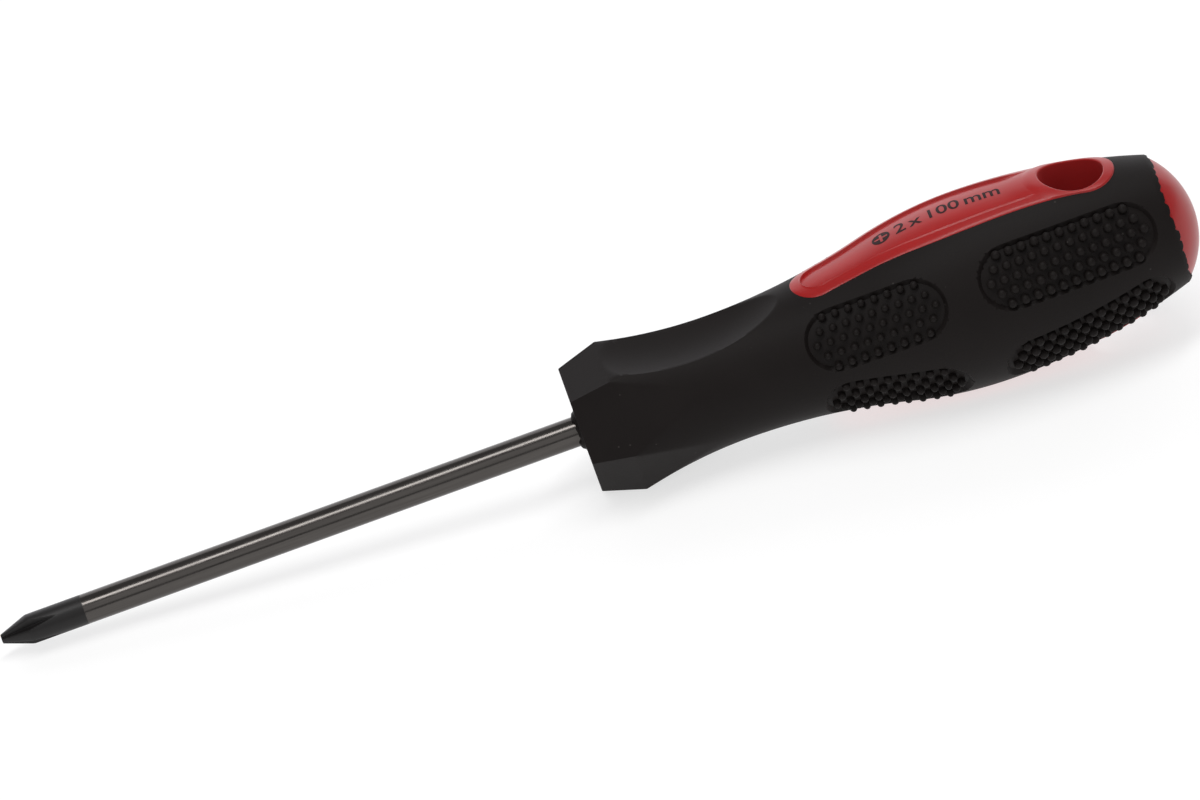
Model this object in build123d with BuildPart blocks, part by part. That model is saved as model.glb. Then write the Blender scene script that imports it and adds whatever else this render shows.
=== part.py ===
"""Cross-head screwdriver with a 100 mm blade and a two-colour moulded handle.

Millimetres. The tool's axis is X, and the blade points along -X. The origin is on the axis, at the
handle's flat front face, where the blade leaves it. +Z is the side that carries the size strip.
Three pieces, as the maker builds them: the steel blade, the hard core moulded round it, and the soft
grip moulded over the core.
"""

import os
from math import cos, degrees, radians, sin, sqrt, tan

from build123d import *

# ---- blade ----
blade_exposed = 100.0  # from the handle's front face to the point
blade_d = 5.0
tang_step = 0.5  # the rod steps down by this much all round where it enters the handle
blade_buried = 64.0  # length inside the handle
point_flat_d = 1.5  # flat end of the point
point_angle = 20.0  # half angle of the point's cone
flute_root_r = 0.45  # distance of a flute's root from the axis at the point
flute_angle = 92.0  # included angle of a flute's V
flute_length = 9.8  # from the point to where a flute runs out
flute_turn = 45.0  # of the first flute about the axis, from +Z
ear_x = 50.0  # middle of the flattened ears that stop the blade turning
ear_length = 9.0
ear_width = 7.6
ear_thickness = 2.4
blade_end_chamfer = 0.6

# ---- handle, outside surface ----
face_r = 10.6  # corner radius of the six-sided front face
ridge_x = 7.0  # the guard's sharp ridge
ridge_r = 12.75
waist_x = 25.5
waist_r = 10.55
belly_x = 69.5
belly_r = 16.0
end_x = 101.5  # where the soft grip stops
end_r = 10.95
neck_share = 0.61  # the neck's share of the two arcs between waist and belly
flats_end_x = 22.0  # the six flats have run out into the round neck here
face_relief_gap = 0.5  # a shallow relief in the front face clears the blade by this much all round
face_relief_depth = 0.2
grip_turn = 5.0  # of the flats and scoops about the axis, from the strips towards -Y
dome_length = 4.6  # the red end stands out of the grip by this much

# ---- thumb scoops, on the top and the bottom of the neck ----
scoop_x = 22.0
scoop_floor_z = 8.05
scoop_along_r = 39.0
scoop_across_r = 20.0

# ---- hard core ----
skin = 2.2  # thickness of the soft skin over the core's belly
core_neck_r = 6.2
core_nose_x = 2.5
core_neck_end_x = 32.0
core_belly_start_x = 46.0
lip = 0.35  # thickness of the skin's thin rear lip
lip_x = 99.2
shoulder_length = 1.2

# ---- size strips: hard plastic showing through the skin, top and bottom ----
strip_raise = 0.15
strip_front_x = 39.8
strip_front_r = 5.2
strip_middle_x = 67.0
strip_middle_y = 7.05
strip_rear_r = 5.85
label_depth = 0.4
label_rim = 1.9

# ---- hanging hole ----
hole_x = 88.9
hole_r = 5.25
ring_width = 2.5  # of the raised ring round the hole
ring_raise = 0.3

# ---- finger pads, in four rows, two on each side of the strips ----
upper_pad_turn = 63.0
lower_pad_turn = 126.0
pad_depth = 0.8
nub_height = 1.25  # above the pad's floor
nub_root = 0.4  # how far a nub's root is sunk in the floor
nub_rise_step = 2.03  # between rows of nubs, across the pad
front_pad = dict(x=50.8, length=24.0, width=10.9, nub_r=0.66, nub_step=2.24, nubs=(8, 9, 10, 9, 8))
rear_pad = dict(x=83.65, length=30.5, width=11.3, nub_r=0.82, nub_step=2.19, nubs=(11, 12, 13, 12, 11))

# ---- arcs of the outside profile, each tangent to the next ----
face_flat_r = 12.9  # the round body in front of the ridge, outside the six flats
neck_front_r = ((waist_x - ridge_x) ** 2 + (ridge_r - waist_r) ** 2) / (2 * (ridge_r - waist_r))
rise = belly_r - waist_r
run = belly_x - waist_x
arcs_sum = (run**2 + rise**2) / (2 * rise)
neck_rear_r = neck_share * arcs_sum
belly_front_r = arcs_sum - neck_rear_r
bend_x = waist_x + neck_share * run
bend_r = waist_r + neck_share * rise
belly_rear_r = ((end_x - belly_x) ** 2 + (belly_r - end_r) ** 2) / (2 * (belly_r - end_r))
dome_r = end_r - lip
dome_x = end_x + dome_length
strip_rear_x = hole_x + 1.2
tang_r = blade_d / 2 - tang_step
pad_turns = (upper_pad_turn, lower_pad_turn, -lower_pad_turn, -upper_pad_turn)
through = 2 * belly_r + 4  # long enough to pass through the whole handle


def land_radius(x):
    """Radius of the grip's smooth surface at x, from the ridge to the rear edge."""
    if x < waist_x:
        return waist_r + neck_front_r - sqrt(neck_front_r**2 - (x - waist_x) ** 2)
    if x < bend_x:
        return waist_r + neck_rear_r - sqrt(neck_rear_r**2 - (x - waist_x) ** 2)
    if x < belly_x:
        return belly_r - belly_front_r + sqrt(belly_front_r**2 - (x - belly_x) ** 2)
    return belly_r - belly_rear_r + sqrt(belly_rear_r**2 - (x - belly_x) ** 2)


def land_point(x, offset=0.0):
    return (x, land_radius(x) + offset)


def land_line(start_x, offset=0.0, stop_x=end_x):
    """The arcs of the outside profile from start_x to stop_x, moved out by offset. Inside a BuildLine."""
    stations = [start_x] + [x for x in (waist_x, bend_x, belly_x) if start_x < x < stop_x] + [stop_x]
    for a, b in zip(stations, stations[1:]):
        ThreePointArc(land_point(a, offset), land_point((a + b) / 2, offset), land_point(b, offset))


def round_body(start_x, offset):
    """The handle's surface of revolution from start_x to the rear edge, moved out by offset."""
    with BuildPart() as body:
        with BuildSketch(Plane.XY):
            with BuildLine():
                land_line(start_x, offset)
                Line(land_point(end_x, offset), (end_x, 0))
                Line((end_x, 0), (start_x, 0))
                Line((start_x, 0), land_point(start_x, offset))
            make_face()
        revolve(axis=Axis.X)
    return body.part


def across(x):
    """A plane square to the axis at x, whose own X runs along the row's Z."""
    return Plane(origin=(x, 0, 0), x_dir=(0, 0, 1), z_dir=(1, 0, 0))


# ---- blade: rod, ears, point and four flutes ----
point_x = -blade_exposed
flute_rise = (blade_d / 2 - flute_root_r) / flute_length

with BuildPart() as flute_cutter:
    # A long V-shaped bar whose root rises from flute_root_r at the point to the rod's surface.
    flute_plane = Plane(origin=(point_x, 0, flute_root_r), x_dir=(0, 1, 0), z_dir=(1, 0, flute_rise))
    with BuildSketch(flute_plane.offset(-blade_d)):
        with BuildLine():
            half_width = blade_d
            height = half_width / tan(radians(flute_angle / 2))
            Polyline((0, 0), (half_width, height), (-half_width, height), close=True)
        make_face()
    extrude(amount=blade_d + 2 * flute_length)

with BuildPart() as blade:
    cone_length = (blade_d - point_flat_d) / 2 / tan(radians(point_angle))
    with BuildSketch(Plane.XY):
        with BuildLine():
            Polyline(
                (point_x, 0),
                (point_x, point_flat_d / 2),
                (point_x + cone_length, blade_d / 2),
                (0, blade_d / 2),
                (0, tang_r),
                (blade_buried - blade_end_chamfer, tang_r),
                (blade_buried, tang_r - blade_end_chamfer),
                (blade_buried, 0),
                close=True,
            )
        make_face()
    revolve(axis=Axis.X)
    for turn in range(4):
        add(flute_cutter.part.rotate(Axis.X, flute_turn + 90 * turn), mode=Mode.SUBTRACT)
    with Locations((ear_x, 0, 0)):
        Box(ear_length, ear_width, ear_thickness)
    ear_corners = blade.edges().filter_by(Axis.Z).group_by(SortBy.LENGTH)[-1]
    fillet(ear_corners, radius=blade_end_chamfer)
blade.part.label = "blade"

# ---- outlines of a size strip, seen from above ----
def strip_line(inset=0.0):
    """A size strip's outline, seen from above and moved in by inset. Inside a BuildLine."""
    front_centre = strip_front_x + strip_front_r
    front_r = strip_front_r - inset
    rear_r = strip_rear_r - inset
    ThreePointArc((front_centre, -front_r), (front_centre - front_r, 0), (front_centre, front_r))
    ThreePointArc((strip_rear_x, rear_r), (strip_rear_x + rear_r, 0), (strip_rear_x, -rear_r))
    for side in (1, -1):
        Spline(
            (front_centre, side * front_r),
            (strip_middle_x, side * (strip_middle_y - inset)),
            (strip_rear_x, side * rear_r),
            tangents=[(1, 0), (1, 0)],
        )


with BuildSketch() as strip_outline:
    with BuildLine():
        strip_line()
    make_face()

with BuildSketch() as label_outline:
    with BuildLine():
        strip_line(label_rim)
    make_face()
    with Locations((hole_x, 0)):
        Circle(hole_r + ring_width, mode=Mode.SUBTRACT)
    # Only the long field in front of the hole is left.
    largest = label_outline.faces().sort_by(SortBy.AREA)[-1]
    add(largest, mode=Mode.REPLACE)

# ---- hard core ----
strip_body = round_body(core_neck_end_x, strip_raise)
ring_body = round_body(core_neck_end_x, ring_raise)
label_floor_body = round_body(core_neck_end_x, strip_raise - label_depth)

with BuildPart() as window_cutter:
    with BuildSketch(Plane.XY.offset(-through / 2)):
        add(strip_outline.sketch)
    extrude(amount=through)

with BuildPart() as ring:
    with BuildSketch(Plane.XY.offset(-through / 2)):
        with Locations((hole_x, 0)):
            Circle(hole_r + ring_width)
    extrude(amount=through)
    add(window_cutter.part, mode=Mode.INTERSECT)
    add(ring_body, mode=Mode.INTERSECT)

with BuildPart() as strips:
    add(window_cutter.part)
    add(strip_body, mode=Mode.INTERSECT)
    add(ring.part)

with BuildPart() as label_cutter:
    with BuildSketch(Plane.XY.offset(-through / 2)):
        add(label_outline.sketch)
    extrude(amount=through)
    add(label_floor_body, mode=Mode.SUBTRACT)

with BuildPart() as hole_cutter:
    with BuildSketch(Plane.XY.offset(-through / 2)):
        with Locations((hole_x, 0)):
            Circle(hole_r)
    extrude(amount=through)

with BuildPart() as core:
    shoulder_x = lip_x - shoulder_length
    with BuildSketch(Plane.XY):
        with BuildLine():
            Line((core_nose_x, 0), (core_nose_x, core_neck_r))
            Line((core_nose_x, core_neck_r), (core_neck_end_x, core_neck_r))
            Line((core_neck_end_x, core_neck_r), land_point(core_belly_start_x, -skin))
            land_line(core_belly_start_x, -skin, shoulder_x)
            Line(land_point(shoulder_x, -skin), land_point(lip_x, -lip))
            Line(land_point(lip_x, -lip), (end_x, dome_r))
            dome_sphere_r = (dome_r**2 + dome_length**2) / (2 * dome_length)
            RadiusArc((end_x, dome_r), (dome_x, 0), dome_sphere_r)
            Line((dome_x, 0), (core_nose_x, 0))
        make_face()
    revolve(axis=Axis.X)
    add(strips.part)
    add(label_cutter.part, mode=Mode.SUBTRACT)
    add(hole_cutter.part, mode=Mode.SUBTRACT)
    add(blade.part, mode=Mode.SUBTRACT)
core.part.label = "core"

# ---- soft grip ----
with BuildPart() as six_sides:
    # The front face and the ridge are true hexagons. Behind them the flats run out of the round neck.
    clear_r = 2 * belly_r
    stations = (
        (0, face_r),
        (ridge_x, ridge_r),
        (flats_end_x, (land_radius(flats_end_x) + 0.1) / cos(radians(30))),
        (strip_front_x, clear_r),
        (end_x, clear_r),
    )
    for x, corner_r in stations:
        with BuildSketch(across(x)):
            RegularPolygon(corner_r, 6, rotation=30)
    loft(ruled=True)

with BuildPart() as scoop_cutter:
    major_r = scoop_along_r - scoop_across_r
    for side in (1, -1):
        centre = Plane(origin=(scoop_x, 0, side * (scoop_floor_z + scoop_along_r)), z_dir=(0, 1, 0))
        with Locations(centre):
            Torus(major_r, scoop_across_r)

pad_floor_body = round_body(core_neck_end_x, -pad_depth)


def pad_plane(turn, x=0.0):
    """A plane through the axis at x, facing out at turn degrees from +Z towards -Y, with its X along the tool."""
    return Plane(origin=(x, 0, 0), x_dir=(1, 0, 0), z_dir=(0, -sin(radians(turn)), cos(radians(turn))))


with BuildPart() as pad_cutter:
    for turn in pad_turns:
        for pad in (front_pad, rear_pad):
            with BuildSketch(pad_plane(turn, pad["x"])):
                SlotOverall(pad["length"], pad["width"])
            extrude(amount=belly_r + 2)
    add(pad_floor_body, mode=Mode.SUBTRACT)

def nub_solid(nub_r):
    """One nub: a short round post with a domed end, standing on the XY plane's origin."""
    bend_z = nub_height - nub_r
    with BuildPart() as nub:
        with BuildSketch(Plane.XZ):
            with BuildLine():
                Polyline((0, nub_height), (0, -nub_root), (nub_r, -nub_root), (nub_r, bend_z))
                RadiusArc((nub_r, bend_z), (0, nub_height), -nub_r)
            make_face()
        revolve(axis=Axis.Z)
    return nub.part


def nub_planes(pad, turn):
    """Where the nubs of one pad stand: staggered rows along the tool, each square to the surface."""
    planes = []
    for row, count in enumerate(pad["nubs"]):
        rise_mm = (row - (len(pad["nubs"]) - 1) / 2) * nub_rise_step
        for i in range(count):
            x = pad["x"] + (i - (count - 1) / 2) * pad["nub_step"]
            floor_r = land_radius(x) - pad_depth
            row_turn = turn + degrees(rise_mm / floor_r)
            planes.append(pad_plane(row_turn, x).offset(floor_r))
    return planes


with BuildPart() as grip:
    with BuildSketch(Plane.XY):
        with BuildLine():
            relief_r = blade_d / 2 + face_relief_gap
            Polyline((face_relief_depth, 0), (face_relief_depth, relief_r), (0, relief_r), (0, face_flat_r))
            Line((0, face_flat_r), (ridge_x, face_flat_r))
            Line((ridge_x, face_flat_r), land_point(ridge_x))
            land_line(ridge_x)
            Line(land_point(end_x), (end_x, 0))
            Line((end_x, 0), (face_relief_depth, 0))
        make_face()
    revolve(axis=Axis.X)
    add(six_sides.part.rotate(Axis.X, grip_turn), mode=Mode.INTERSECT)
    add(scoop_cutter.part.rotate(Axis.X, grip_turn), mode=Mode.SUBTRACT)
    add(pad_cutter.part, mode=Mode.SUBTRACT)
    add(window_cutter.part, mode=Mode.SUBTRACT)
    add(core.part, mode=Mode.SUBTRACT)
    add(blade.part, mode=Mode.SUBTRACT)
    for pad in (front_pad, rear_pad):
        nub = nub_solid(pad["nub_r"])
        for turn in pad_turns:
            add([plane.location * nub for plane in nub_planes(pad, turn)])
grip.part.label = "grip"

os.makedirs("parts", exist_ok=True)
for piece in (blade, core, grip):
    export_step(piece.part, f"parts/{piece.part.label}.step")
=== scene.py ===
"""Looks of the cross-head screwdriver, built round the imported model. Metres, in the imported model's frame.

The tool's axis is X with the blade towards -X, and +Z is the side of the size strip. The functions work in
millimetres, and put() turns them into metres. A turn is the angle about the axis, from +Z towards -Y.
"""

import bmesh
import bpy
import numpy as np
from mathutils import Matrix, Vector


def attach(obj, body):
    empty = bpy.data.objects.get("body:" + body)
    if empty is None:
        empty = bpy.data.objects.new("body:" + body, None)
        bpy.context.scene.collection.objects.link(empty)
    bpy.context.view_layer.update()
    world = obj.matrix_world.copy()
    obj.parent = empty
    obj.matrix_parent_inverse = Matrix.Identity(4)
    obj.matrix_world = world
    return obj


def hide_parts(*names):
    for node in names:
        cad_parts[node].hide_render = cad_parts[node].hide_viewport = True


MM = 0.001
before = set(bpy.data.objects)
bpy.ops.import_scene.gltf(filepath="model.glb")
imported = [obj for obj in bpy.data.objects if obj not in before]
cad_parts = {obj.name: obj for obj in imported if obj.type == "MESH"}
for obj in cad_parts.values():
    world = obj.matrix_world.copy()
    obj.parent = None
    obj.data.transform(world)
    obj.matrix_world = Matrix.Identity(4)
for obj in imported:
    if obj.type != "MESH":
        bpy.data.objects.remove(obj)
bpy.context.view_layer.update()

# ---- sizes, in millimetres ----
POINT_X = -100.0
BLADE_R = 2.5
BLACK_POINT_X = -85.7
FACE_R, RIDGE_X, RIDGE_R = 10.6, 7.0, 12.75
WAIST_X, WAIST_R = 25.5, 10.55
BELLY_X, BELLY_R = 69.5, 16.0
END_X, END_R, LIP, DOME_LENGTH = 101.5, 10.95, 0.35, 4.6
FLATS_END_X = 22.0
SCOOP_X, SCOOP_FLOOR_Z, SCOOP_ALONG_R, SCOOP_ACROSS_R = 22.0, 8.05, 39.0, 20.0
STRIP_FRONT_X, STRIP_FRONT_R, STRIP_MIDDLE_X, STRIP_MIDDLE_Y, STRIP_REAR_R = 39.8, 5.2, 67.0, 7.05, 5.85
HOLE_X, HOLE_R, RING_WIDTH = 88.9, 5.25, 2.5
STRIP_REAR_X = HOLE_X + 1.2
STRIP_RAISE, RING_RAISE, LABEL_DEPTH, LABEL_RIM = 0.08, 0.3, 0.4, 1.9
PADS = (
    dict(x=50.8, length=24.0, width=10.9, nub_step=2.24, nubs=(8, 9, 10, 9, 8), nub_r=0.66),
    dict(x=83.65, length=30.5, width=11.3, nub_step=2.19, nubs=(11, 12, 13, 12, 11), nub_r=0.8),
)
COS_30 = 0.8660254  # a hexagon's flat lies this share of its corner radius from the axis
GRIP_TURN = 5.0  # the flats and scoops sit turned from the strips by this many degrees
PAD_TURNS = (63.0, 126.0, 234.0, 297.0)
PAD_DEPTH = 0.8
# The wall round the label field: (distance inwards from the rim's line, share of the way down to the floor).
# A share below nothing is the small swell on the rim.
LABEL_WALL = np.array(
    [
        [-0.26, 0], [-0.14, -0.2], [-0.05, -0.28], [0.03, -0.1],
        [0.09, 0.25], [0.15, 0.7], [0.23, 0.97], [0.3, 1.0],
    ]
)
NUB_RISE_STEP = 2.03
rng = np.random.default_rng(7)


# ---- outside shape ----
def land_radius(x):
    """Radius of the handle's smooth surface at x: four arcs, each tangent to the next, from the ridge
    through the waist and the belly to the rear edge. An arc of radius a about a station s is r(s) +- (a -
    sqrt(a^2 - (x - s)^2))."""
    rise, run = BELLY_R - WAIST_R, BELLY_X - WAIST_X
    arcs = (run**2 + rise**2) / (2 * rise)
    neck_front = ((WAIST_X - RIDGE_X) ** 2 + (RIDGE_R - WAIST_R) ** 2) / (2 * (RIDGE_R - WAIST_R))
    neck_rear, belly_front = 0.61 * arcs, 0.39 * arcs
    belly_rear = ((END_X - BELLY_X) ** 2 + (BELLY_R - END_R) ** 2) / (2 * (BELLY_R - END_R))

    def sag(a, d):
        return a - np.sqrt(np.maximum(a**2 - d**2, 0))

    return np.select(
        [x < WAIST_X, x < WAIST_X + 0.61 * run, x < BELLY_X],
        [
            WAIST_R + sag(neck_front, x - WAIST_X),
            WAIST_R + sag(neck_rear, x - WAIST_X),
            BELLY_R - sag(belly_front, x - BELLY_X),
        ],
        BELLY_R - sag(belly_rear, x - BELLY_X),
    )


def six_sided_radius(x, turn):
    """Radius of the six-sided guard: apothem / cos(angle to the nearest flat's middle). The apothem runs in
    straight lines from the front face to the ridge and on to where the flats leave the round neck."""
    apothem = np.interp(
        x,
        [0, RIDGE_X, FLATS_END_X, STRIP_FRONT_X],
        [FACE_R * COS_30, RIDGE_R * COS_30, float(land_radius(np.array(FLATS_END_X))) + 0.1, 2 * BELLY_R],
    )
    fold = (np.degrees(turn) + 30) % 60 - 30
    return apothem / np.cos(np.radians(fold))


def scoop_radius(x, turn):
    """Radius at which a thumb scoop's surface is met: the scoop is a torus about an axis along Y, standing
    off the neck, and the radius is found by halving between the axis and clear of the neck, where the
    torus's equation (sqrt((x - x0)^2 + (z0 - r cos t)^2) - major)^2 + (r sin t)^2 = minor^2 changes
    sign."""
    major = SCOOP_ALONG_R - SCOOP_ACROSS_R
    z0 = SCOOP_FLOOR_Z + SCOOP_ALONG_R
    low, high = np.zeros_like(x + turn), np.full_like(x + turn, 20.0)
    for _ in range(30):
        r = (low + high) / 2
        away = np.hypot(x - SCOOP_X, z0 - r * np.abs(np.cos(turn))) - major
        outside = away**2 + (r * np.sin(turn)) ** 2 > SCOOP_ACROSS_R**2
        low, high = np.where(outside, r, low), np.where(outside, high, r)
    return high


def softer_least(a, b, width):
    """The lesser of a and b, rounded where they cross over a band of that width."""
    h = np.clip(0.5 + 0.5 * (b - a) / width, 0, 1)
    return b + (a - b) * h - width * h * (1 - h)


def body_radius(x, turn):
    """Radius of the moulding before the pads are let in: the least of the round body, the six sides and the
    scoops, the last two turned by GRIP_TURN."""
    turn = turn - np.radians(GRIP_TURN)
    front = np.where(x < RIDGE_X, 12.9, land_radius(x))
    six = softer_least(front, six_sided_radius(x, turn), 0.08)
    return softer_least(six, np.where(x < 40, scoop_radius(x, turn), 40.0), 0.1)


def strip_half_width(x, inset=0.0):
    """Half width of a size strip's outline at x, moved in by inset: a round nose, a cubic that swells to the
    middle and comes in again, and a round rear end."""
    front_r, middle, rear_r = STRIP_FRONT_R - inset, STRIP_MIDDLE_Y - inset, STRIP_REAR_R - inset
    nose, tail = STRIP_FRONT_X + STRIP_FRONT_R, STRIP_REAR_X

    def ease(t):
        return t * t * (3 - 2 * t)

    front = front_r + (middle - front_r) * ease(np.clip((x - nose) / (STRIP_MIDDLE_X - nose), 0, 1))
    rear = middle + (rear_r - middle) * ease(np.clip((x - STRIP_MIDDLE_X) / (tail - STRIP_MIDDLE_X), 0, 1))
    width = np.where(x < STRIP_MIDDLE_X, front, rear)
    width = np.where(x < nose, np.sqrt(np.maximum(front_r**2 - (nose - x) ** 2, 0)), width)
    return np.where(x > tail, np.sqrt(np.maximum(rear_r**2 - (x - tail) ** 2, 0)), width)


# ---- meshes ----
def around(x, turn, r):
    """Points at a distance r from the axis: (x, -r sin turn, r cos turn)."""
    return np.stack([x, -r * np.sin(turn), r * np.cos(turn)], -1)


def put(name, points, faces, slot, replaced, sharp=40.0):
    """Makes a mesh piece from millimetre points and a list of face index arrays, leaves out points that no
    face uses, and rides the piece on the handle."""
    used, corners = np.unique(np.concatenate([f.reshape(-1) for f in faces]), return_inverse=True)
    splits = np.cumsum([f.size for f in faces])[:-1]
    faces = [part.reshape(f.shape) for part, f in zip(np.split(corners, splits), faces)]
    mesh = bpy.data.meshes.new(name)
    mesh.from_pydata((np.asarray(points)[used] * MM).tolist(), [], [f for a in faces for f in a.tolist()])
    mesh.polygons.foreach_set("use_smooth", np.ones(len(mesh.polygons), bool))
    mesh.set_sharp_from_angle(angle=np.radians(sharp))
    mesh.validate()
    piece = bpy.data.objects.new(name, mesh)
    bpy.context.scene.collection.objects.link(piece)
    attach(piece, "root")
    if replaced:
        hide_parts(replaced)
    return piece


def quad_grid(rows, columns, closed=True):
    """Index quads of a grid of points stored row by row; closed joins the last column to the first."""
    i, j = np.meshgrid(np.arange(rows - 1), np.arange(columns if closed else columns - 1), indexing="ij")
    k = (j + 1) % columns
    corners = [i * columns + j, i * columns + k, (i + 1) * columns + k, (i + 1) * columns + j]
    return np.stack(corners, -1).reshape(-1, 4)


def merged(points, quads):
    """Joins points that coincide to a thousandth of a millimetre, turns quads that lost one corner into
    triangles and drops those that lost more. Returns points and a list of face arrays."""
    _, first, back = np.unique(np.round(points, 3), axis=0, return_index=True, return_inverse=True)
    quads = back.reshape(-1)[quads]
    distinct = quads != np.roll(quads, 1, axis=1)
    corners = distinct.sum(1)
    return points[first], [quads[corners == 4], quads[corners == 3][distinct[corners == 3]].reshape(-1, 3)]


def closed_shell(outer, inner, quads):
    """A closed wall between an outer and an inner sheet with the same faces: the outer faces, the inner faces
    turned round, and a quad down every edge that only one face uses."""
    both, faces = merged(np.hstack([outer, inner]), quads)
    n = len(both)
    start = np.concatenate([f.reshape(-1) for f in faces])
    end = np.concatenate([np.roll(f, -1, axis=1).reshape(-1) for f in faces])
    free = ~np.isin(end * n + start, start * n + end)
    a, b = start[free], end[free]
    walls = np.stack([b, a, a + n, b + n], -1)
    points = np.concatenate([both[:, :3], both[:, 3:]])
    return points, faces + [f[:, ::-1] + n for f in faces] + [walls]


def turned(profile, columns=96, axis="x", centre=(0, 0, 0)):
    """A surface of revolution: profile is (along, radius) pairs, carried round the axis in that many
    columns."""
    along, radius = np.asarray(profile, float).T
    turn = np.linspace(0, 2 * np.pi, columns, endpoint=False)
    a, t = np.meshgrid(along, turn, indexing="ij")
    r = np.broadcast_to(radius[:, None], a.shape)
    flat = np.stack([a, -r * np.sin(t), r * np.cos(t)], -1)
    if axis == "z":
        flat = np.stack([r * np.cos(t), -r * np.sin(t), a], -1)
    return merged(flat.reshape(-1, 3) + np.asarray(centre, float), quad_grid(len(along), columns))


# ---- blade ----
def blade_surface():
    """The rod about the axis: at the point its radius is the least of the rod, the cone and four flutes,
    each a V of half angle 46 degrees whose root climbs from 0.45 to the rod's surface, so r = root / (cos d
    - |sin d| / tan 46). Inside the handle the radius swells to two flat ears."""
    x = np.concatenate(
        [
            [POINT_X] * 4,
            np.linspace(POINT_X + 0.05, POINT_X + 11, 110),
            np.linspace(-88.0, -1.0, 30),
            [0, 20, 45.49, 45.5, 54.5, 54.51, 63.4, 64.0, 64.0],
        ]
    )
    turn = np.linspace(0, 2 * np.pi, 180, endpoint=False)
    x, t = np.meshgrid(x, turn, indexing="ij")
    cone = 0.75 + (x - POINT_X) * np.tan(np.radians(20))
    rod = softer_least(cone, np.full_like(x, BLADE_R), 0.1)
    off = np.degrees(t) % 90 - 45
    root = 0.45 + (x - POINT_X) * (BLADE_R - 0.45) / 9.8
    opening = np.cos(np.radians(off)) - np.abs(np.sin(np.radians(off))) / np.tan(np.radians(46))
    flute = root / np.maximum(opening, 0.02)
    r = softer_least(rod, flute, 0.06)
    ear = np.minimum(3.8 / np.maximum(np.abs(np.sin(t)), 1e-6), 1.2 / np.maximum(np.abs(np.cos(t)), 1e-6))
    r = np.where((x > 45.495) & (x < 54.505), np.maximum(r, ear), r)
    r[:4] *= np.array([0, 0.35, 0.7, 0.93])[:, None]
    r[-1], r[-2] = 0, 1.9
    return merged(around(x, t, r).reshape(-1, 3), quad_grid(*x.shape))


def dome_sphere_r():
    """Radius of the rear dome's sphere: (base^2 + length^2) / (2 length)."""
    return ((END_R - LIP) ** 2 + DOME_LENGTH**2) / (2 * DOME_LENGTH)


# ---- soft grip ----
def crease_turn(x):
    """Turn, in radians, of the grid line that follows the creases beside the top: the guard's corner, then
    the scoop's rim, found by halving on where scoop and body cross, and then the strip's border asin(y /
    r)."""
    low, high = np.zeros_like(x), np.full_like(x, np.radians(55))
    for _ in range(30):
        t = (low + high) / 2
        body = np.minimum(np.where(x < RIDGE_X, 12.9, land_radius(x)), six_sided_radius(x, t))
        within = scoop_radius(x, t) < body
        low, high = np.where(within, t, low), np.where(within, high, t)
    rim = np.where(x < 10, np.radians(30), low)
    strip = np.arcsin(np.clip(strip_half_width(x) / land_radius(np.maximum(x, RIDGE_X)), 0, 1))
    return np.where(x < STRIP_FRONT_X - 1, rim, strip)


def pad_fall(x, turn):
    """Lets the finger pads in. In each pad's own plane p runs along the tool and q across it, and d is the
    distance to a slot shape, hypot(max(|p| - a, 0), q) - half width. Grid points near d = 0 and just inside
    it are moved along d's slope onto d = 0 and d = -0.58, so both edges of the pad's wall are clean lines.
    Returns x, turn, depth."""
    depth = np.zeros_like(x)
    for centre in np.radians(PAD_TURNS):
        for pad in PADS:
            half, straight = pad["width"] / 2, (pad["length"] - pad["width"]) / 2
            r = land_radius(np.maximum(x, RIDGE_X))
            p, q = x - pad["x"], r * ((turn - centre + np.pi) % (2 * np.pi) - np.pi)
            px = np.sign(p) * np.maximum(np.abs(p) - straight, 0)
            reach = np.hypot(px, q)
            d = reach - half
            goal = np.where(np.abs(d) < 0.24, 0.0, np.where((d > -0.84) & (d < 0), -0.58, d))
            near = (goal != d) & (x > 20)
            x = np.where(near, x + px / np.maximum(reach, 1e-6) * (goal - d), x)
            turn = np.where(near, turn + q / np.maximum(reach, 1e-6) * (goal - d) / r, turn)
            depth = np.where((goal < -0.57) & (x > 20), PAD_DEPTH, depth)
    return x, turn, depth


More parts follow.
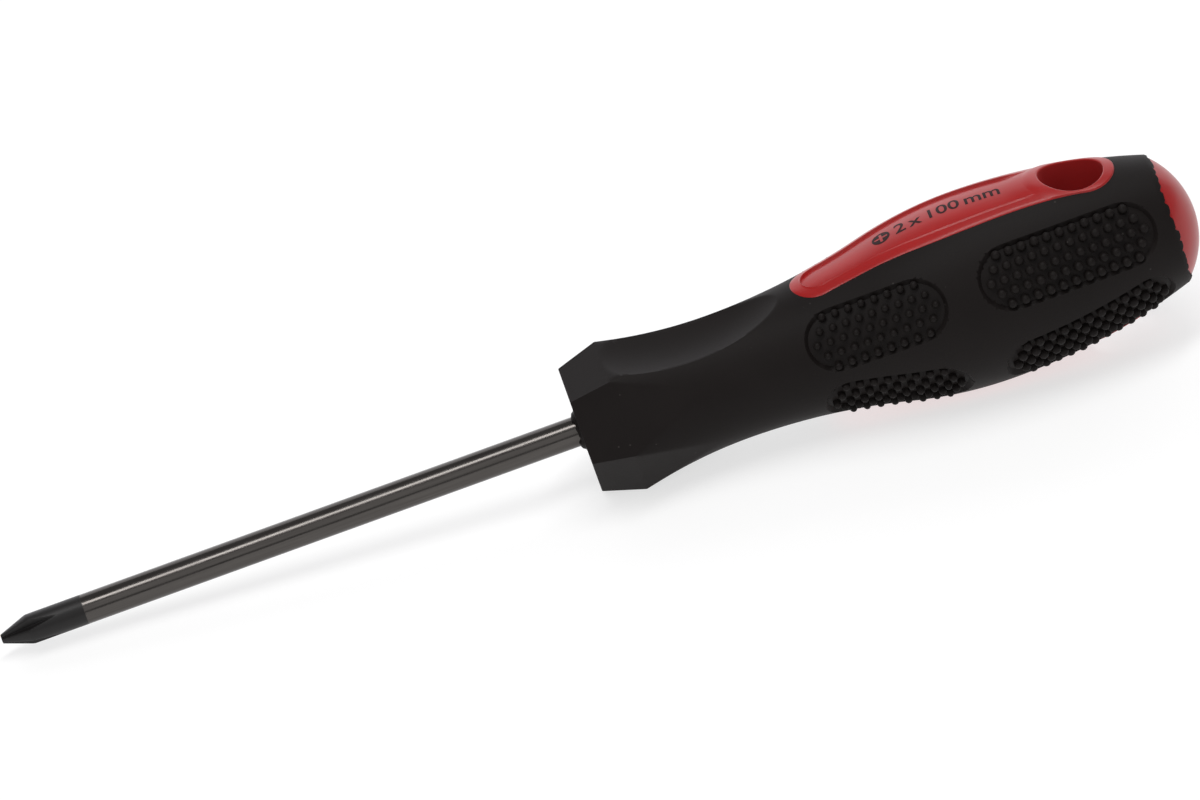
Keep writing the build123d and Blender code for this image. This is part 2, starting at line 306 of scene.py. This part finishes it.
def grip_surface():
    """The soft moulding as one closed wall. The outer sheet starts on the blade, crosses the collar and the
    flat front face, and follows the body's radius to the rear lip; the inner sheet lies on the hard core.
    The grid's turn lines follow the creases, then run straight along the tool, and the strips' windows are
    left open."""
    nose = STRIP_FRONT_X + STRIP_FRONT_R * (1 - np.cos(np.radians(np.arange(0, 91, 9))))
    tail = STRIP_REAR_X + STRIP_REAR_R * np.sin(np.radians(np.arange(0, 91, 6)))
    stations = np.concatenate(
        [
            [0.0, 0.12],
            np.linspace(0.8, 6.85, 9),
            [RIDGE_X],
            np.linspace(7.2, 12, 12),
            np.linspace(12.6, 36, 34),
            np.linspace(36.3, 39.5, 10),
            nose,
            np.arange(45.45, 89.9, 0.45),
            tail,
            np.linspace(96.3, END_X - 0.1, 13),
            [END_X],
        ]
    )
    face_rows = np.array([0.0, 0.0, 0.02, 0.06, 0.15, 0.4, 0.7, 0.95])
    front = len(face_rows)
    x = np.concatenate([np.zeros(front), stations])
    crease = crease_turn(x)[:, None]
    first = np.linspace(0, 1, 11)[None, :] * crease
    second = crease + np.linspace(0, 1, 9)[None, 1:] * (np.radians(36) - crease)
    third = np.broadcast_to(np.radians(np.linspace(36, 90, 33))[1:], (len(x), 32))
    quarter = np.hstack([first, second, third])
    half = np.hstack([quarter, np.pi - quarter[:, -2::-1]])
    turn = np.hstack([half, 2 * np.pi - half[:, -2:0:-1]])
    rows, columns = turn.shape
    x = np.repeat(x[:, None], columns, 1)
    line = np.arange(columns) % (columns // 2)
    in_window = (line < 10) | (line >= columns // 2 - 10)

    turn = turn + np.radians(GRIP_TURN) * np.clip((STRIP_FRONT_X - 0.3 - x) / 1.2, 0, 1)
    x, turn, depth = pad_fall(x, turn)
    r = body_radius(np.clip(x, 0, END_X), turn) - depth
    # The front face: a thin uneven collar pressed up round the blade, then flat out to the six edges.
    ragged = np.sin(3 * turn + 1) + 0.6 * np.sin(7 * turn) + 0.4 * np.sin(13 * turn + 2)
    collar_x = -0.62 - 0.16 * ragged[:front]
    out_r = r[front]
    inner_face_r = np.array([2.5, 2.62, 3.02, 3.3, 3.7])
    for k in range(front):
        r[k] = inner_face_r[k] if k < 5 else 3.7 + (out_r - 0.12 - 3.7) * face_rows[k]
        x[k] = (collar_x[k] * np.array([1, 1, 0.75, 0.12, 0, 0, 0, 0])[k]) if k < 5 else 0.0
    r[front] = out_r - 0.12
    # The rear edge is a thin flash that wanders along the hard end.
    end_turn = turn[-1]
    wander = 0.14 * np.sin(5 * end_turn + 0.6) + 0.08 * np.sin(13 * end_turn + 2)
    wander += 0.07 * np.sin(29 * end_turn)
    teeth = np.maximum(np.sin(37 * end_turn + 3 * np.sin(3 * end_turn)), 0.4) - 0.4
    x[-1] += 0.4 + wander - 0.5 * teeth
    sphere = dome_sphere_r()
    on_dome = np.sqrt(sphere**2 - (x[-1] - END_X - DOME_LENGTH + sphere) ** 2)
    r[-1] = np.minimum(END_R - 0.1, on_dome + 0.35)

    core_x = x.copy()
    core_x[:front] = 2.5
    guard_x = 2.5 + np.clip(x[front:], 0, RIDGE_X) * 4.5 / RIDGE_X
    core_x[front:] = np.where(x[front:] < RIDGE_X, guard_x, x[front:])
    core_x[0] = x[0]
    land = land_radius(np.maximum(core_x, RIDGE_X))
    core_r = np.interp(core_x, [0, 32, 46], [6.2, 6.2, float(land_radius(np.array(46.0))) - 2.2])
    core_r = np.where(core_x > 46, land - 2.2, core_r)
    core_r = np.where(core_x > 98, land - np.interp(core_x, [98, 99.2], [2.2, 0.35]), core_r)
    core_r[:front] = np.linspace(2.5, 6.2, front)[:, None]
    core_r[-1] = on_dome - 0.05
    # Beside a strip the inner sheet keeps the outer one's distance from the middle plane, so that the
    # window's wall is upright: the angle from that plane grows from asin(y / land) to asin(y / core).
    half_width = strip_half_width(x)
    shift = np.arcsin(np.clip(half_width / core_r, 0, 0.9)) - np.arcsin(np.clip(half_width / land, 0, 0.9))
    folded = turn % np.pi
    side = np.where(folded < np.pi / 2, 1, -1)
    share = np.clip((np.pi / 2 - np.minimum(folded, np.pi - folded)) / np.radians(60), 0, 1)
    core_turn = turn + side * share * np.where((x > STRIP_FRONT_X - 0.1) & (x < 97), shift, 0)
    outer, inner = around(x, turn, r), around(core_x, core_turn, core_r)

    quads = quad_grid(rows, columns)
    row, column = quads[:, 0] // columns, quads[:, 0] % columns
    station = np.concatenate([np.zeros(front), stations])
    along_strip = (station[row] > STRIP_FRONT_X - 0.01) & (station[row] < STRIP_REAR_X + STRIP_REAR_R - 0.01)
    window = in_window[column] & along_strip
    return closed_shell(outer.reshape(-1, 3), inner.reshape(-1, 3), quads[~window])


def nub_points(pad, centre):
    """Where one pad's nubs stand: staggered rows, evenly spaced along the tool, each square to the
    surface."""
    x, turn = [], []
    for row, count in enumerate(pad["nubs"]):
        along = pad["x"] + (np.arange(count) - (count - 1) / 2) * pad["nub_step"]
        across = (row - (len(pad["nubs"]) - 1) / 2) * NUB_RISE_STEP
        x.append(along)
        turn.append(centre + across / (land_radius(along) - PAD_DEPTH))
    return np.concatenate(x), np.concatenate(turn)


def nub_surface(pad, centre):
    """One pad's nubs: each a short post with a domed end, (radius, height) = rings at the root, the
    shoulder and four on the dome, closed by a point at each end. Heights and leans differ slightly from nub
    to nub."""
    nx, nt = nub_points(pad, centre)
    ring = np.array(
        [[0, -0.4], [0.94, -0.4], [1, 0.35], [0.99, 0.6], [0.9, 0.85], [0.68, 1.07], [0.36, 1.21], [0, 1.26]]
    )
    turn = np.linspace(0, 2 * np.pi, 12, endpoint=False)
    size = pad["nub_r"] * rng.normal(1, 0.02, len(nx))
    tall = rng.normal(1, 0.03, len(nx))
    lean = rng.normal(0, 0.03, (len(nx), 2))
    local_r = ring[:, 0][None, :, None] * size[:, None, None]
    up = np.broadcast_to(ring[:, 1][None, :, None] * tall[:, None, None], local_r.shape) + 0 * turn
    along = local_r * np.cos(turn) + lean[:, :1, None] * up
    across = local_r * np.sin(turn) + lean[:, 1:, None] * up
    floor = (land_radius(nx) - PAD_DEPTH)[:, None, None]
    s, c = np.sin(nt)[:, None, None], np.cos(nt)[:, None, None]
    r = floor + up
    points = np.stack([nx[:, None, None] + along, -r * s - across * c, r * c - across * s], -1)
    one = quad_grid(len(ring), len(turn))[:, ::-1]
    quads = (np.arange(len(nx))[:, None, None] * len(ring) * len(turn) + one[None]).reshape(-1, 4)
    return merged(points.reshape(-1, 3), quads)


# ---- hard core ----
def eased(t):
    """3 t^2 - 2 t^3 of t kept within 0 and 1."""
    t = np.clip(t, 0, 1)
    return t * t * (3 - 2 * t)


def strip_top(x, y):
    """Height of a strip's surface over (x, y): sqrt((r + raise)^2 - y^2). The raise swells on the ring
    round the hole: it goes from RING_RAISE to STRIP_RAISE with eased((hole_r + 2.7 - d) / 1.2), d from the
    hole's middle."""
    swell = eased((HOLE_R + 2.7 - np.hypot(x - HOLE_X, y)) / 1.2)
    lift = STRIP_RAISE + (RING_RAISE - STRIP_RAISE) * swell
    return np.sqrt(np.maximum((land_radius(x) + lift) ** 2 - y**2, 0))


def field_height(x, y):
    """Height of the label field's floor: LABEL_DEPTH under the strip's surface, and running out towards the
    ring with eased(0.12 + (d - ring's edge) / 5)."""
    return strip_top(x, y) - LABEL_DEPTH * eased(0.12 + (np.hypot(x - HOLE_X, y) - HOLE_R - RING_WIDTH) / 5)


def strip_surface():
    """The top size strip as a closed wall, with its label field let in and the hanging hole's rounded
    mouth. Its front part is a nest of rings: each runs from the hole's rim along one border, round the nose
    and back. Its rear part is rays from the hole's middle out to the rim's arc or the strip's border."""
    rim, arc_r, bottom = LABEL_RIM, HOLE_R + RING_WIDTH, 4.5
    last = rim + 0.6
    nose = STRIP_FRONT_X + STRIP_FRONT_R
    insets = np.concatenate(
        [[0, 0.12, 0.7, 1.3, rim - 0.4], rim + LABEL_WALL[:, 0], np.linspace(last, 7.05, 9)]
    )
    spine = insets[-1]

    def ring_y(x, inset):
        # Past the field's edge the rings close in on the middle line in proportion.
        narrow = strip_half_width(x, last) * (spine - inset) / (spine - last)
        return np.where(inset <= last, strip_half_width(x, np.minimum(inset, last)), narrow)

    end_x = np.full(len(insets), HOLE_X - arc_r)
    for _ in range(15):
        end_y = ring_y(end_x, insets)
        end_x = HOLE_X - np.sqrt(arc_r**2 - end_y**2)
    share = np.concatenate([np.linspace(0, 0.985, 88), [0.9925, 0.9965, 1.0]])[:, None]
    x = nose + share * (end_x - nose)
    y = ring_y(x, np.broadcast_to(insets, x.shape))
    x[-1], y[-1] = end_x, end_y
    nose_turn = np.radians(np.linspace(0, 180, 37))[1:-1, None]
    nose_r = ring_y(np.full(len(insets), nose), insets)
    run_x = np.concatenate([x[::-1], nose - nose_r * np.sin(nose_turn), x])
    run_y = np.concatenate([y[::-1], nose_r * np.cos(nose_turn), -y])
    inset = np.broadcast_to(insets, run_x.shape)
    share_down = np.interp(insets - rim, *LABEL_WALL.T) * np.ones_like(run_x)
    share_down[[0, -1]] = 0
    run_z = strip_top(run_x, run_y) * (1 - share_down) + field_height(run_x, run_y) * share_down
    run_z = run_z - 0.1 * (inset == 0)
    front = np.stack([run_x, run_y, run_z], -1)

    seam_x = np.concatenate([run_x[0], run_x[-1][-2::-1]])
    seam_y = np.concatenate([run_y[0], run_y[-1][-2::-1]])
    seam_turn = np.arctan2(seam_y, seam_x - HOLE_X) % (2 * np.pi)
    rest = np.linspace(seam_turn[-1], seam_turn[0] + 2 * np.pi, 92)[1:-1]
    theta = np.concatenate([seam_turn, rest])
    low, high = np.zeros_like(theta), np.full_like(theta, arc_r)
    for _ in range(30):
        middle = (low + high) / 2
        within = np.abs(middle * np.sin(theta)) < strip_half_width(HOLE_X + middle * np.cos(theta))
        low, high = np.where(within, middle, low), np.where(within, high, middle)
    reach = low
    reach[: len(seam_x)] = np.hypot(seam_x - HOLE_X, seam_y)
    bend = np.radians(np.linspace(0, 90, 7))[:, None]
    mouth = HOLE_R + 0.38 * (1 - np.cos(bend)) + 0 * reach
    sink = 0.38 * (1 - np.sin(bend)) + 0 * reach
    grow = np.array([0.25, 0.5, 0.75, 0.93, 1.0])[:, None]
    ray_r = np.concatenate([mouth, mouth[-1] + grow * (reach - mouth[-1])])
    ray_x, ray_y = HOLE_X + ray_r * np.cos(theta), ray_r * np.sin(theta)
    ray_x[-1, : len(seam_x)], ray_y[-1, : len(seam_x)] = seam_x, seam_y
    ray_z = strip_top(ray_x, ray_y)
    ray_z[: len(bend)] -= sink
    border = np.ones(len(theta), bool)
    border[1 : len(seam_x) - 1] = False
    ray_z[-1] -= 0.1 * border
    rear = np.stack([ray_x, ray_y, ray_z], -1)

    top = np.concatenate([front.reshape(-1, 3), rear.reshape(-1, 3)])
    quads = np.concatenate(
        [
            quad_grid(*run_x.shape, closed=False)[:, ::-1],
            quad_grid(*ray_x.shape)[:, ::-1] + run_x.size,
        ]
    )
    below = top * [1, 1, 0] + [0, 0, bottom]
    return closed_shell(top, below, quads)


def turned_over(points):
    """The same points turned half round the tool's axis and let in by 0.15 mm: (x, -y, 0.15 - z)."""
    return points * [1, -1, -1] + [0, 0, 0.15]


def core_body_surface():
    """The hard core under the skin, from its nose to just in front of the hanging hole: a profile along the
    axis, closed through the blade's bore."""
    belly = np.linspace(46, HOLE_X - HOLE_R - 1.5, 30)
    along = np.concatenate([[2.5, 2.5, 32], belly, [belly[-1], 64, 64, 2.5]])
    radius = np.concatenate([[2.4, 6.2, 6.2], land_radius(belly) - 2.2, [0, 0, 2.4, 2.4]])
    return turned(np.stack([along, radius], -1))


def rear_dome_surface():
    """The hard rear end: a shoulder under the skin's lip, and a dome z = sqrt(R^2 - x^2) with a softly
    rounded rim."""
    base, sphere = END_R - LIP, dome_sphere_r()
    sweep = np.arcsin(base / sphere) * np.linspace(0.985, 0, 24)
    belly = np.linspace(HOLE_X + HOLE_R + 1.5, 98, 5)
    dome_along = END_X + DOME_LENGTH - sphere + sphere * np.cos(sweep)
    along = np.concatenate([[belly[0]], belly, [99.2, END_X - 0.2], dome_along])
    shoulder_r = land_radius(np.array(99.2)) - 0.4
    radius = np.concatenate([[0], land_radius(belly) - 2.3, [shoulder_r, base], sphere * np.sin(sweep)])
    return turned(np.stack([along, radius], -1))


def hole_liner_surface():
    """The tube that lines the hanging hole between the two strips: a ring profile turned about the hole's
    axis."""
    profile = [(4.5, HOLE_R), (4.5, 6.6), (-4.5, 6.6), (-4.5, HOLE_R), (4.5, HOLE_R)]
    return turned(profile, 120, "z", (HOLE_X, 0, 0))


# ---- size mark, printed in the label field ----
def printed(name, shape, faces, at_x, at_y, size):
    """Lays a flat mesh of the given size on the label field, with a thin film's height above the floor."""
    points = np.array(shape, float) * size
    x, y = points[:, 0] + at_x, points[:, 1] + at_y
    return put(name, np.stack([x, y, field_height(x, y) + 0.02], -1), faces, "core", None)


def numerals(words):
    """Outline numerals as a flat mesh, centred on the line's height and cut across at every 0.06 of it, so
    that it can be laid on the curved field."""
    curve = bpy.data.curves.new("numerals", "FONT")
    curve.body, curve.size, curve.resolution_u, curve.offset = words, 1.0, 4, 0.014
    curve.align_x, curve.align_y, curve.space_character = "LEFT", "CENTER", 1.0
    curve.space_word = 0.55
    holder = bpy.data.objects.new("numerals", curve)
    bpy.context.scene.collection.objects.link(holder)
    mesh = bpy.data.meshes.new_from_object(holder)
    cut = bmesh.new()
    cut.from_mesh(mesh)
    for height in np.arange(-0.5, 0.5, 0.06):
        everything = cut.verts[:] + cut.edges[:] + cut.faces[:]
        bmesh.ops.bisect_plane(cut, geom=everything, plane_co=(0, height, 0), plane_no=(0, 1, 0))
    bmesh.ops.triangulate(cut, faces=cut.faces[:])
    cut.to_mesh(mesh)
    cut.free()
    points = np.empty(len(mesh.vertices) * 3)
    mesh.vertices.foreach_get("co", points)
    corners = np.empty(len(mesh.polygons) * 3, int)
    mesh.polygons.foreach_get("vertices", corners)
    bpy.data.objects.remove(holder)
    bpy.data.meshes.remove(mesh)
    return points.reshape(-1, 3), [corners.reshape(-1, 3)]


# ---- finishes ----
class Wire:
    """A shader socket that does maths: an expression on sockets adds its Math nodes, and node() adds any
    other."""

    def __init__(self, tree, socket):
        self.tree, self.socket = tree, socket

    def node(self, kind, settings=None, inputs=None, out=0):
        """Adds a node of that type, gives it its settings first and then the values or links of its
        sockets."""
        made = self.tree.nodes.new(kind)
        for key, value in (settings or {}).items():
            if key == "stops":
                ramp = made.color_ramp
                while len(ramp.elements) < len(value):
                    ramp.elements.new(0.5)
                for element, (at, colour) in zip(ramp.elements, value):
                    element.position, element.color = at, colour
            else:
                setattr(made, key, value)
        for key, value in (inputs or {}).items():
            if isinstance(value, Wire):
                self.tree.links.new(value.socket, made.inputs[key])
            else:
                made.inputs[key].default_value = value
        return Wire(self.tree, made.outputs[out])

    def maths(self, operation, a, b=0.0, clamp=False):
        return self.node("ShaderNodeMath", {"operation": operation, "use_clamp": clamp}, {0: a, 1: b})

    def __add__(self, other):
        return self.maths("ADD", self, other)

    def __sub__(self, other):
        return self.maths("SUBTRACT", self, other)

    def __rsub__(self, other):
        return self.maths("SUBTRACT", other, self)

    def __mul__(self, other):
        return self.maths("MULTIPLY", self, other)

    __radd__, __rmul__ = __add__, __mul__

    def above(self, edge, width):
        """0 below edge and 1 above it, with a soft step of that width."""
        return self.maths("MULTIPLY", self - (edge - width / 2), 1 / width, clamp=True)

    def noise(self, place, scale, detail=2.0, rough=0.5):
        inputs = {"Vector": place, "Scale": scale, "Detail": detail, "Roughness": rough}
        return self.node("ShaderNodeTexNoise", None, inputs)

    def blend(self, a, b):
        """Colour a where this is 0 and b where it is 1."""
        return self.node("ShaderNodeMix", {"data_type": "RGBA"}, {0: self, 6: a, 7: b}, out=2)

    def bump(self, height, strength, distance):
        inputs = {"Height": height, "Strength": strength, "Distance": distance}
        return self.node("ShaderNodeBump", None, inputs)


def finish_named(name, constants):
    """A new material with its shader's constant sockets set. Returns the material, its place in the piece,
    and a function that links a wire to one of the shader's sockets."""
    material = bpy.data.materials.new(name)
    material.use_nodes = True
    tree = material.node_tree
    shader = tree.nodes["Principled BSDF"]
    for key, value in constants.items():
        shader.inputs[key].default_value = value
    place = Wire(tree, tree.nodes.new("ShaderNodeTexCoord").outputs["Object"])
    return material, place, lambda key, wire: tree.links.new(wire.socket, shader.inputs[key])


def parts_of(place):
    """The X, Y and Z of a place, as three wires."""
    split = place.node("ShaderNodeSeparateXYZ", None, {0: place})
    return [Wire(place.tree, split.socket.node.outputs[k]) for k in range(3)]


def soft_black():
    """Matt black moulded rubber: a fine grain, faint flow clouds, slight polish in patches and a little
    dust."""
    material, place, link = finish_named("soft_black_rubber", {"Specular IOR Level": 0.12, "IOR": 1.47})
    clouds = place.noise(place, 90.0, 3.0, 0.6)
    grain = place.noise(place, 2600.0, 2.0, 0.6)
    specks = place.node("ShaderNodeTexVoronoi", None, {"Vector": place, "Scale": 620.0, "Randomness": 1.0})
    here = place.noise(place, 210.0, 1.0).above(0.64, 0.05)
    dust = (1 - specks.above(0.09, 0.04)) * here
    black = clouds.above(0.55, 0.5).blend((0.0085, 0.0066, 0.0062, 1), (0.0115, 0.009, 0.0086, 1))
    link("Base Color", (dust * 0.3).blend(black, (0.11, 0.1, 0.095, 1)))
    link("Roughness", 0.44 + clouds * 0.16 + grain * 0.06)
    link("Normal", place.bump(grain + clouds * 0.6, 0.25, 0.00006))
    return material


def hard_red():
    """Satin red moulded plastic: a deep red with slow colour drift and faint flow streaks along the tool.
    The hanging hole's wall, within sqrt((x - hole)^2 + y^2) of its middle, is duller."""
    material, place, link = finish_named(
        "hard_red_plastic",
        {
            "Specular IOR Level": 0.34,
            "IOR": 1.48,
            "Subsurface Weight": 0.22,
            "Subsurface Radius": (0.004, 0.0006, 0.0005),
        },
    )
    stretched = place.node("ShaderNodeMapping", None, {"Vector": place, "Scale": (0.25, 1.0, 1.0)})
    flow = place.noise(stretched, 220.0, 3.0, 0.55)
    fine = place.noise(place, 1900.0, 2.0, 0.5)
    link("Base Color", flow.above(0.5, 0.6).blend((0.33, 0.009, 0.009, 1), (0.40, 0.012, 0.012, 1)))
    x, y, _ = parts_of(place)
    off = x - HOLE_X * MM
    from_bore = off.maths("SQRT", off * off + y * y)
    in_bore = 1 - from_bore.above((HOLE_R + 0.08) * MM, 0.00008)
    link("Roughness", 0.25 + flow * 0.05 + fine * 0.04 + in_bore * 0.5)
    link("Normal", place.bump(flow * 0.8 + fine * 0.2, 0.08, 0.00006))
    return material


def dark_steel():
    """Dark plated steel, polished along its length, whose last stretch before the point is blackened with a
    clean edge: fine lines along X vary the gloss, and the black has a grainy, half dull face."""
    material, place, link = finish_named("dark_polished_steel", {"IOR": 1.5, "Specular IOR Level": 0.35})
    x, _, _ = parts_of(place)
    lines = place.node("ShaderNodeMapping", None, {"Vector": place, "Scale": (0.03, 1.0, 1.0)})
    drawn = place.noise(lines, 2600.0, 3.0, 0.6)
    cloud = place.noise(place, 260.0, 2.0, 0.5)
    edge = x + (place.noise(place, 700.0, 1.0) - 0.5) * 0.00025
    plated = edge.above(BLACK_POINT_X * MM, 0.00012)
    steel = drawn.above(0.5, 0.7).blend((0.07, 0.064, 0.06, 1), (0.1, 0.093, 0.088, 1))
    link("Base Color", plated.blend((0.0085, 0.0075, 0.0075, 1), steel))
    link("Metallic", 0.1 + plated * 0.9)
    link("Roughness", plated * (drawn * 0.09 + 0.09 - 0.36) + (0.36 + cloud * 0.12))
    link("Normal", place.bump(drawn * plated + cloud * (1 - plated), 0.12, 0.00003))
    return material


def dark_ink():
    """Thin dark printing ink that lets a little of the red through where it is worn."""
    material, place, link = finish_named("dark_ink", {"Specular IOR Level": 0.12})
    worn = place.noise(place, 1500.0, 3.0, 0.7)
    link("Base Color", worn.above(0.66, 0.1).blend((0.022, 0.006, 0.007, 1), (0.12, 0.008, 0.008, 1)))
    link("Roughness", 0.4 + worn * 0.2)
    return material


def pale_floor():
    material, place, link = finish_named(
        "pale_floor", {"Roughness": 0.7, "Emission Color": (1, 1, 1, 1), "Emission Strength": 0.66}
    )
    link("Base Color", place.noise(place, 3.0).blend((0.36, 0.36, 0.36, 1), (0.38, 0.38, 0.38, 1)))
    return material


# ---- making ----
black, red, steel, ink = soft_black(), hard_red(), dark_steel(), dark_ink()


def made(name, surface, material, slot, replaced, sharp=40.0):
    piece = put(name, *surface, slot, replaced, sharp)
    piece.data.materials.append(material)
    return piece


made("blade_rod", blade_surface(), steel, "blade", "blade", 28.0)
made("grip_moulding", grip_surface(), black, "grip", "grip", 32.0)
for pad_name, pad in zip(("front", "rear"), PADS):
    for centre in PAD_TURNS:
        nubs = nub_surface(pad, np.radians(centre))
        made(f"grip_nubs_{pad_name}_{int(centre)}", nubs, black, "grip", None, 60.0)
top_points, strip_faces = strip_surface()
made("size_strip_top", (top_points, strip_faces), red, "core", "core", 35.0)
made("size_strip_bottom", (turned_over(top_points), strip_faces), red, "core", "core", 35.0)
made("core_body", core_body_surface(), red, "core", "core")
made("rear_dome", rear_dome_surface(), red, "core", "core")
made("hanging_hole_liner", hole_liner_surface(), red, "core", "core")

# ---- size mark: a cross in a disc, then the point's size and the blade's length ----
def mark_disc():
    """A disc with a plus left open in it: rays run from the plus's outline, at distance
    min(reach, arm / min(|cos|, |sin|)) from the middle, out to the disc's edge."""
    arm, reach = 0.14, 0.72
    corner = np.arctan2(arm, reach)
    quarter = np.array([-corner, corner, np.pi / 8, np.pi / 4, 3 * np.pi / 8])
    turn = np.concatenate([k * np.pi / 2 + quarter for k in range(4)])
    following = np.append(turn[1:], turn[0] + 2 * np.pi)
    turn = np.concatenate([np.linspace(a, b, 4)[:-1] for a, b in zip(turn, following)])
    least = np.minimum(np.abs(np.cos(turn)), np.abs(np.sin(turn)))
    most = np.maximum(np.abs(np.cos(turn)), np.abs(np.sin(turn)))
    start = np.where(least / most < arm / reach + 1e-9, reach / most, arm / np.maximum(least, 1e-9))
    r = np.stack([start, (start + 1) / 2, np.ones_like(start)])
    flat = np.stack([r * np.cos(turn), r * np.sin(turn)], -1).reshape(-1, 2)
    return flat, quad_grid(3, len(turn))


disc, disc_faces = mark_disc()
printed("size_mark_disc", disc, [disc_faces], 56.4, 0.0, 1.6).data.materials.append(ink)
words, letters = numerals("2 x 100 mm")
printed("size_mark_numerals", words, letters, 58.8, 0.0, 4.1).data.materials.append(ink)

# ---- floor, camera and lights ----
TILT = np.radians(4.25)  # the tool lies on its belly and the edge of its guard's front
floor_mesh = bpy.data.meshes.new("floor")
floor_mesh.from_pydata([(-4, -4, 0), (4, -4, 0), (4, 4, 0), (-4, 4, 0)], [], [(0, 1, 2, 3)])
floor = bpy.data.objects.new("floor", floor_mesh)
floor.data.materials.append(pale_floor())
bpy.context.scene.collection.objects.link(floor)
lean = Matrix.Rotation(TILT, 4, "Y")
floor.matrix_world = Matrix.Translation((0.0685, 0, -0.0161)) @ lean

RISE, ROLL = np.radians(28.5), np.radians(19.88)
across, over = Vector((1, 0, 0)), Vector((0, np.sin(RISE), np.cos(RISE)))
right = across * np.cos(ROLL) - over * np.sin(ROLL)
up = across * np.sin(ROLL) + over * np.cos(ROLL)
back = right.cross(up)
view_width, distance = 0.1951, 2.2
camera_data = bpy.data.cameras.new("camera")
camera_data.sensor_width, camera_data.lens = 36.0, 36.0 * distance / view_width
camera_data.clip_end = 20.0
camera = bpy.data.objects.new("camera", camera_data)
bpy.context.scene.collection.objects.link(camera)
aim = Vector((0.0047, 0, 0)) + over * 0.0035
facing = Matrix((right, up, back)).transposed().to_4x4()
camera.matrix_world = Matrix.Translation(aim + back * distance) @ facing
bpy.context.scene.camera = camera


def soft_light(name, place, target, size, power, colour=(1, 1, 1)):
    lamp = bpy.data.lights.new(name, "AREA")
    lamp.shape, lamp.size, lamp.size_y = "RECTANGLE", size[0], size[1]
    lamp.energy, lamp.color = power, colour
    holder = bpy.data.objects.new(name, lamp)
    bpy.context.scene.collection.objects.link(holder)
    holder.location = place
    holder.rotation_euler = (Vector(target) - Vector(place)).to_track_quat("-Z", "Y").to_euler()
    return holder


soft_light("overhead_softbox", (0.1, -0.12, 0.9), (0, 0, 0), (1.2, 0.17), 5.2)
soft_light("front_fill", (-0.1, -1.1, 0.7), (0, 0, 0), (1.6, 0.9), 2.6)
soft_light("rear_panel", (0.1, 1.0, 0.42), (0, 0, 0.02), (2.4, 1.0), 7.5, (0.97, 0.96, 1.0))

world = bpy.data.worlds.new("studio")
bpy.context.scene.world = world
world.use_nodes = True
world.node_tree.nodes["Background"].inputs["Color"].default_value = (1, 1, 1, 1)
world.node_tree.nodes["Background"].inputs["Strength"].default_value = 0.3
bpy.context.scene.view_settings.view_transform = "Standard"
